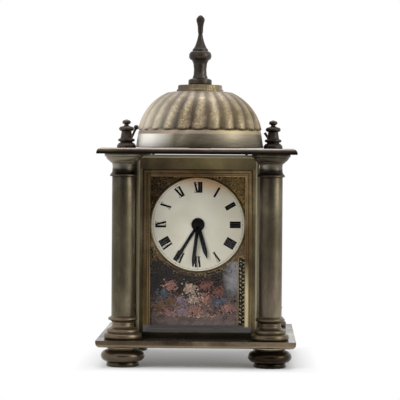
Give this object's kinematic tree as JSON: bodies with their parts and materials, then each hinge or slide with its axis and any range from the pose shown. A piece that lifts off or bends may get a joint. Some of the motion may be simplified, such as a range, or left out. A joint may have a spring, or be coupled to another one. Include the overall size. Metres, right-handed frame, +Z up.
{
  "type": "table alarm clock",
  "caption": "Brass table alarm clock shaped as a small temple: columns between square plates, a glazed case with a round dial, and a gadrooned bell dome with a spire.",
  "frame": {"origin": "on the table, under the middle of the square base plate", "axes": "+Z up, the dial faces -Y, +X to the right of someone who reads the dial"},
  "size_m": [0.1, 0.1, 0.1799],
  "materials": {
    "dark_brass": "aged, browned lacquer, satin",
    "gilt_brass": "old gilding, softly polished",
    "bell_brass": "pale tarnished brass, mottled",
    "dark_bronze": "dark bronzed, satin",
    "movement_brass": "clean machined brass",
    "steel": "fine turned steel",
    "blackened_steel": "black enamel, satin",
    "dial_enamel": "cream enamel, satin",
    "painted_panel": "oil-painted panel under thin varnish",
    "clear_glass": "flat polished glass"
  },
  "bodies": {
    "case": {"base_plate": "dark_brass", "bun_feet": "dark_brass", "foot_washers": "gilt_brass", "column_bases": "dark_brass", "column_shafts": "dark_brass", "column_capitals": "dark_brass", "tie_rods": "steel", "top_plate": "dark_brass", "side_finials": "dark_bronze", "bell_post": "steel", "bell": "bell_brass", "bell_collar": "gilt_brass", "spire": "dark_bronze", "case_sides": "dark_brass", "case_roof": "dark_brass", "case_floor": "dark_brass", "front_frame": "dark_brass", "sight_moulding": "gilt_brass", "front_glass": "clear_glass", "dial_surround": "gilt_brass", "dial_plate": "gilt_brass", "dial": "dial_enamel", "dial_ring": "gilt_brass", "picture_panel": "painted_panel", "back_panel": "dark_brass", "back_screws": "steel", "front_movement_plate": "movement_brass", "rear_movement_plate": "movement_brass", "movement_pillars": "steel", "pillar_screws": "steel"},
    "minute_arbor": {"centre_arbor": "steel", "hand_setting_knob": "movement_brass", "minute_hand": "blackened_steel"},
    "minute_wheel": {"minute_wheel": "movement_brass"},
    "hour_wheel": {"hour_wheel": "movement_brass", "hour_hand": "blackened_steel"},
    "alarm_disc": {"alarm_disc": "movement_brass", "alarm_hand": "blackened_steel"},
    "alarm_setter": {"alarm_set_arbor": "steel", "alarm_setting_knob": "movement_brass"},
    "going_barrel": {"going_barrel": "movement_brass"},
    "going_winder": {"going_arbor": "steel", "going_key": "movement_brass"},
    "going_click": {"going_click": "steel"},
    "centre_wheel": {"centre_wheel": "movement_brass"},
    "third_wheel": {"third_wheel": "movement_brass"},
    "fourth_wheel": {"fourth_wheel": "movement_brass"},
    "escape_wheel": {"escape_wheel": "steel"},
    "pallet_lever": {"pallet_lever": "steel"},
    "balance": {"balance_wheel": "movement_brass", "hairspring": "steel"},
    "regulator": {"regulator_lever": "movement_brass"},
    "alarm_barrel": {"alarm_barrel": "movement_brass"},
    "alarm_winder": {"alarm_arbor": "steel", "alarm_key": "movement_brass"},
    "alarm_click": {"alarm_click": "steel"},
    "strike_wheel": {"strike_wheel": "steel"},
    "hammer": {"hammer": "dark_bronze"},
    "stop_lever": {"stop_lever": "dark_bronze"}
  },
  "joints": [
    {"name": "minute_turn", "type": "hinge", "parent": "case", "child": "minute_arbor", "pos_m": [0, 0, 0.0711], "axis": [0, 1, 0], "continuous": true},
    {"name": "minute_wheel_turn", "type": "hinge", "parent": "case", "child": "minute_wheel", "pos_m": [0, 0, 0.0831], "axis": [0, 1, 0], "continuous": true},
    {"name": "hour_turn", "type": "hinge", "parent": "case", "child": "hour_wheel", "pos_m": [0, 0, 0.0711], "axis": [0, 1, 0], "continuous": true},
    {"name": "alarm_disc_turn", "type": "hinge", "parent": "case", "child": "alarm_disc", "pos_m": [0, 0, 0.0711], "axis": [0, 1, 0], "continuous": true},
    {"name": "alarm_knob_turn", "type": "hinge", "parent": "case", "child": "alarm_setter", "pos_m": [-0.0004, 0, 0.0521], "axis": [0, 1, 0], "continuous": true},
    {"name": "fourth_wheel_turn", "type": "hinge", "parent": "case", "child": "fourth_wheel", "pos_m": [0.00395, 0, 0.08542], "axis": [0, 1, 0], "continuous": true},
    {"name": "escape_wheel_turn", "type": "hinge", "parent": "case", "child": "escape_wheel", "pos_m": [0.01529, 0, 0.08542], "axis": [0, 1, 0], "continuous": true},
    {"name": "third_wheel_turn", "type": "hinge", "parent": "case", "child": "third_wheel", "pos_m": [-0.0086, 0, 0.0832], "axis": [0, 1, 0], "continuous": true},
    {"name": "centre_wheel_turn", "type": "hinge", "parent": "case", "child": "centre_wheel", "pos_m": [0, 0, 0.0711], "axis": [0, 1, 0], "continuous": true},
    {"name": "going_barrel_turn", "type": "hinge", "parent": "case", "child": "going_barrel", "pos_m": [0.0122, 0, 0.06112], "axis": [0, 1, 0], "continuous": true},
    {"name": "going_winding", "type": "hinge", "parent": "case", "child": "going_winder", "pos_m": [0.0122, 0, 0.06112], "axis": [0, 1, 0], "continuous": true},
    {"name": "going_click_swing", "type": "hinge", "parent": "case", "child": "going_click", "pos_m": [0.0162, 0, 0.06804], "axis": [0, 1, 0], "range_deg": [0, 12], "stiffness_Nm_per_rad": 0.00005},
    {"name": "lever_rock", "type": "hinge", "parent": "case", "child": "pallet_lever", "pos_m": [0.01922, 0, 0.07914], "axis": [0, 1, 0], "range_deg": [-6, 6]},
    {"name": "balance_swing", "type": "hinge", "parent": "case", "child": "balance", "pos_m": [0.02245, 0, 0.07397], "axis": [0, 1, 0], "range_deg": [-150, 150], "stiffness_Nm_per_rad": 0.00001},
    {"name": "regulator_turn", "type": "hinge", "parent": "case", "child": "regulator", "pos_m": [0.02245, 0, 0.07397], "axis": [0, 1, 0], "range_deg": [-12, 12]},
    {"name": "alarm_barrel_turn", "type": "hinge", "parent": "case", "child": "alarm_barrel", "pos_m": [-0.013, 0, 0.0586], "axis": [0, 1, 0], "continuous": true},
    {"name": "strike_wheel_turn", "type": "hinge", "parent": "case", "child": "strike_wheel", "pos_m": [-0.02126, 0, 0.0704], "axis": [0, 1, 0], "continuous": true},
    {"name": "alarm_winding", "type": "hinge", "parent": "case", "child": "alarm_winder", "pos_m": [-0.013, 0, 0.0586], "axis": [0, 1, 0], "continuous": true},
    {"name": "alarm_click_swing", "type": "hinge", "parent": "case", "child": "alarm_click", "pos_m": [-0.017, 0, 0.06553], "axis": [0, 1, 0], "range_deg": [0, 12], "stiffness_Nm_per_rad": 0.00005},
    {"name": "hammer_swing", "type": "hinge", "parent": "case", "child": "hammer", "pos_m": [-0.02126, 0, 0.0786], "axis": [0, 1, 0], "range_deg": [-4, 0.5], "stiffness_Nm_per_rad": 0.005},
    {"name": "stop_lever_swing", "type": "hinge", "parent": "case", "child": "stop_lever", "pos_m": [0.022, 0, 0.0881], "axis": [0, 1, 0], "range_deg": [0, 4]}
  ],
  "couplings": [
    {"joint": "minute_wheel_turn", "follows": "minute_turn", "ratio": -0.33333},
    {"joint": "hour_turn", "follows": "minute_turn", "ratio": 0.083333},
    {"joint": "alarm_knob_turn", "follows": "alarm_disc_turn", "ratio": -3},
    {"joint": "escape_wheel_turn", "follows": "fourth_wheel_turn", "ratio": -8},
    {"joint": "third_wheel_turn", "follows": "fourth_wheel_turn", "ratio": -0.13333},
    {"joint": "centre_wheel_turn", "follows": "fourth_wheel_turn", "ratio": 0.016667},
    {"joint": "going_barrel_turn", "follows": "fourth_wheel_turn", "ratio": -0.0027778},
    {"joint": "strike_wheel_turn", "follows": "alarm_barrel_turn", "ratio": -5}
  ]
}
